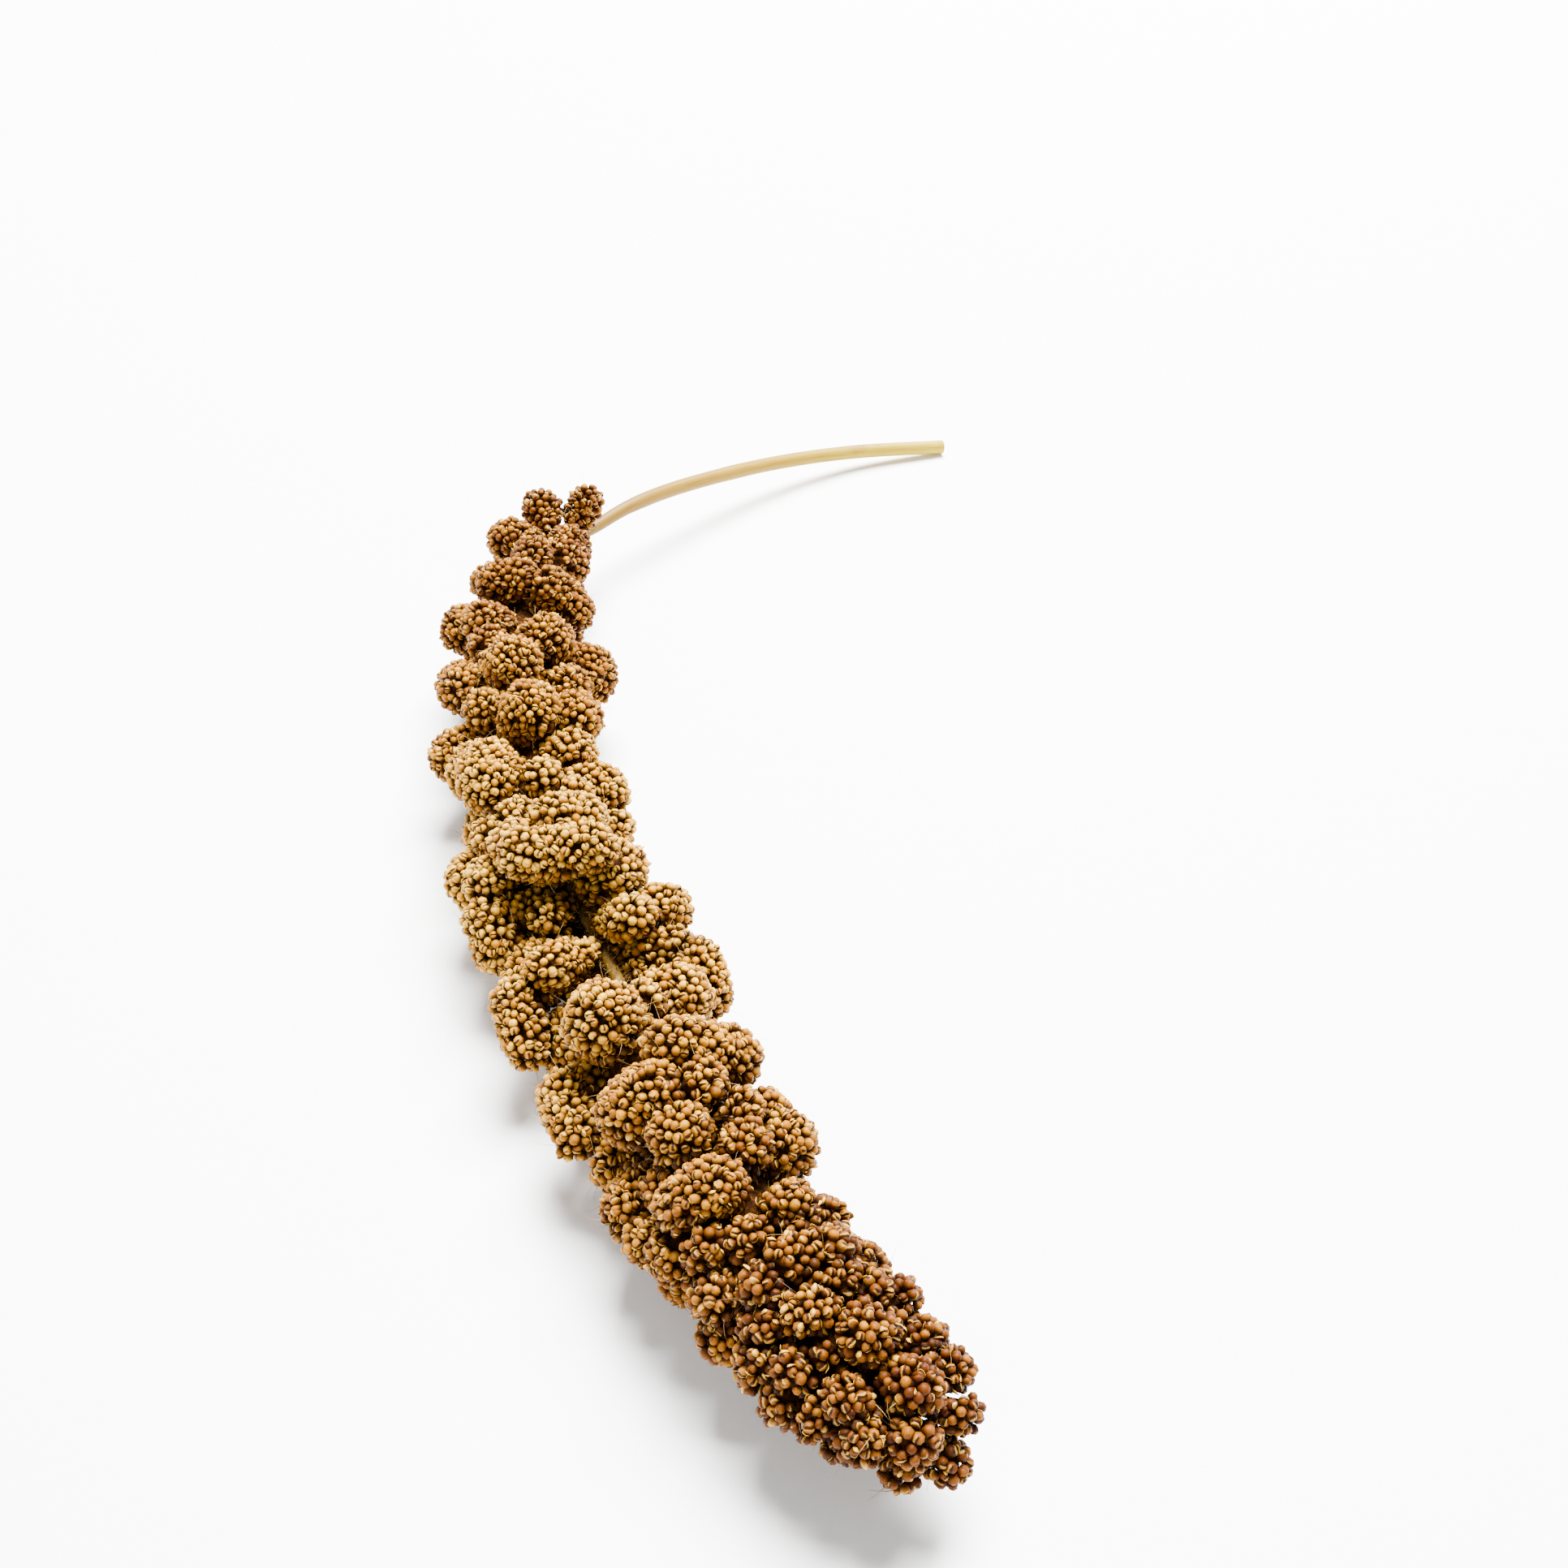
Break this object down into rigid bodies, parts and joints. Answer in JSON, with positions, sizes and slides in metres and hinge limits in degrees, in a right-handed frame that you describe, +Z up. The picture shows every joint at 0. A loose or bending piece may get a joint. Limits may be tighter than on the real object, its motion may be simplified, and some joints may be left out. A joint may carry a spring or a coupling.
{
  "type": "millet seed head",
  "caption": "Dried foxtail millet seed head lying down: grain lobes packed round a thin inner stalk, with a curved length of bare cut stem.",
  "frame": {"origin": "on the surface it lies on, under the middle of the part's box", "axes": "+Y runs along the head from its tip towards its thick end and is the longest extent; +Z is up from the surface and the shortest extent; +X is towards the side that the stem bends to"},
  "size_m": [0.1711, 0.3298, 0.0392],
  "materials": {
    "millet_grain": "dry round grains in their husks, golden tan to brown, satin",
    "dry_straw": "dry straw stem, smooth, slightly ribbed, satin"
  },
  "bodies": {
    "root": {"seed_head": "millet_grain", "stalk": "dry_straw"}
  },
  "joints": []
}
